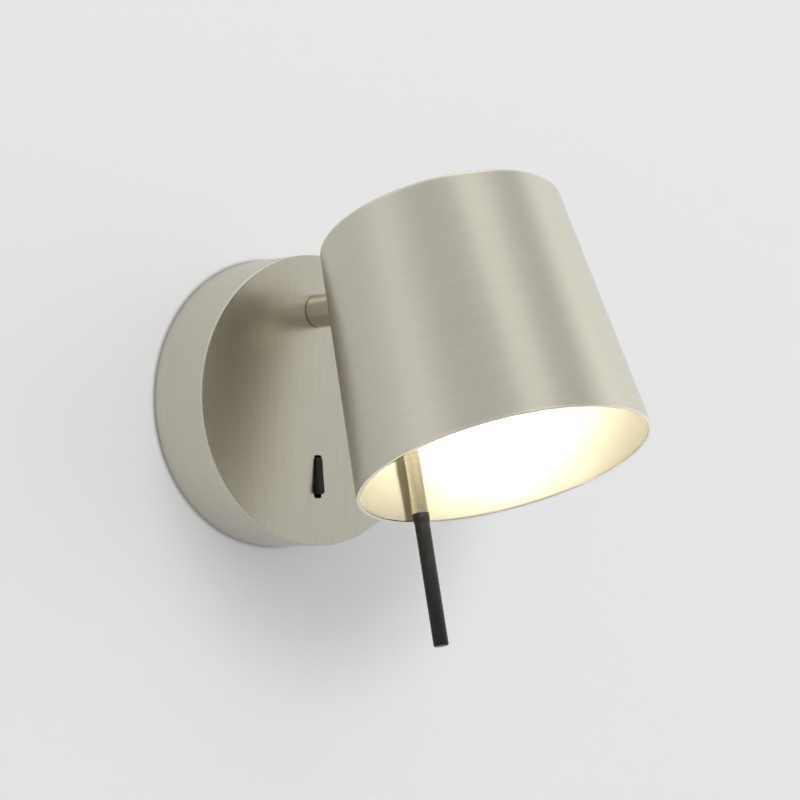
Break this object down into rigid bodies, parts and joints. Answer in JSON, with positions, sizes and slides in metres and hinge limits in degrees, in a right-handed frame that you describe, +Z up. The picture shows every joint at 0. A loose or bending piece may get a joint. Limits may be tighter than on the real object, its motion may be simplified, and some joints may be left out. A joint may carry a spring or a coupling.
{
  "type": "wall reading lamp",
  "caption": "Bedside wall reading lamp: round drum backplate with a rocker switch, a short swivel arm, and a tapered tilting shade aimed by a slim black handle.",
  "frame": {"origin": "middle of the backplate, on the wall plane, midway between the two wall screw slots", "axes": "+Y into the wall, so the lamp stands out along -Y; +Z up; +X to the right as seen from the room"},
  "size_m": [0.12, 0.1974, 0.1814],
  "materials": {
    "satin_nickel": "brushed matt nickel",
    "shade_nickel": "spun, brushed and nickel finished",
    "plated_steel": "bright zinc plated",
    "brass": "plain",
    "black_plastic": "satin black",
    "grip_black": "satin black sleeve",
    "white_plastic": "matt",
    "nylon": "matt",
    "grommet_rubber": "matt",
    "porcelain": "unglazed",
    "milk_glass": "opal",
    "board": "white",
    "wire_brown": "smooth",
    "wire_blue": "smooth",
    "wire_earth": "smooth",
    "wire_white": "silicone"
  },
  "bodies": {
    "wall_unit": {"cover": "satin_nickel", "wall_bracket": "plated_steel", "cover_screws": "plated_steel", "cable_grommet": "grommet_rubber", "terminal_block": "white_plastic", "terminal_sleeves": "brass", "terminal_screws": "plated_steel", "terminal_block_screw": "plated_steel", "earth_screw": "brass", "earth_tag": "plated_steel", "switch_body": "black_plastic", "switch_pin": "plated_steel", "switch_tabs": "brass", "switch_studs": "plated_steel", "switch_nuts": "plated_steel", "swivel_outer_washer": "black_plastic", "swivel_inner_washer": "nylon", "swivel_stop_pin": "plated_steel", "live_lead": "wire_brown", "switched_lead": "wire_brown", "neutral_lead": "wire_blue", "earth_lead": "wire_earth"},
    "rocker": {"switch_rocker": "black_plastic"},
    "arm": {"arm_tube": "satin_nickel", "arm_spigot": "plated_steel", "swivel_stop_washer": "plated_steel", "swivel_spring_washer": "plated_steel", "swivel_nut": "plated_steel", "arm_fork": "satin_nickel", "pivot_screw": "plated_steel", "pivot_washers": "nylon", "pivot_spring_washer": "plated_steel", "pivot_nut": "plated_steel", "arm_leads": "wire_white"},
    "head": {"head_knuckle": "satin_nickel", "head_strap": "plated_steel", "knuckle_screws": "plated_steel", "lampholder_screw": "plated_steel", "shade": "shade_nickel", "shade_studs": "plated_steel", "shade_nuts": "plated_steel", "lampholder_body": "porcelain", "lampholder_contacts": "brass", "bulb_base": "white_plastic", "bulb_pins": "plated_steel", "bulb_envelope": "milk_glass", "bulb_board": "board", "stem_rod": "plated_steel", "stem_tube": "satin_nickel", "handle_grip": "grip_black", "head_leads": "wire_white"}
  },
  "joints": [
    {"name": "arm_swivel", "type": "hinge", "parent": "wall_unit", "child": "arm", "pos_m": [0, -0.0319, 0.0368], "axis": [0, -1, 0], "range_deg": [-90, 90]},
    {"name": "head_tilt", "type": "hinge", "parent": "arm", "child": "head", "pos_m": [0, -0.0753, 0.0368], "axis": [-1, 0, 0], "range_deg": [-31, 12]},
    {"name": "switch_press", "type": "hinge", "parent": "wall_unit", "child": "rocker", "pos_m": [0, -0.0284, -0.0316], "axis": [1, 0, 0], "range_deg": [0, 13]}
  ]
}
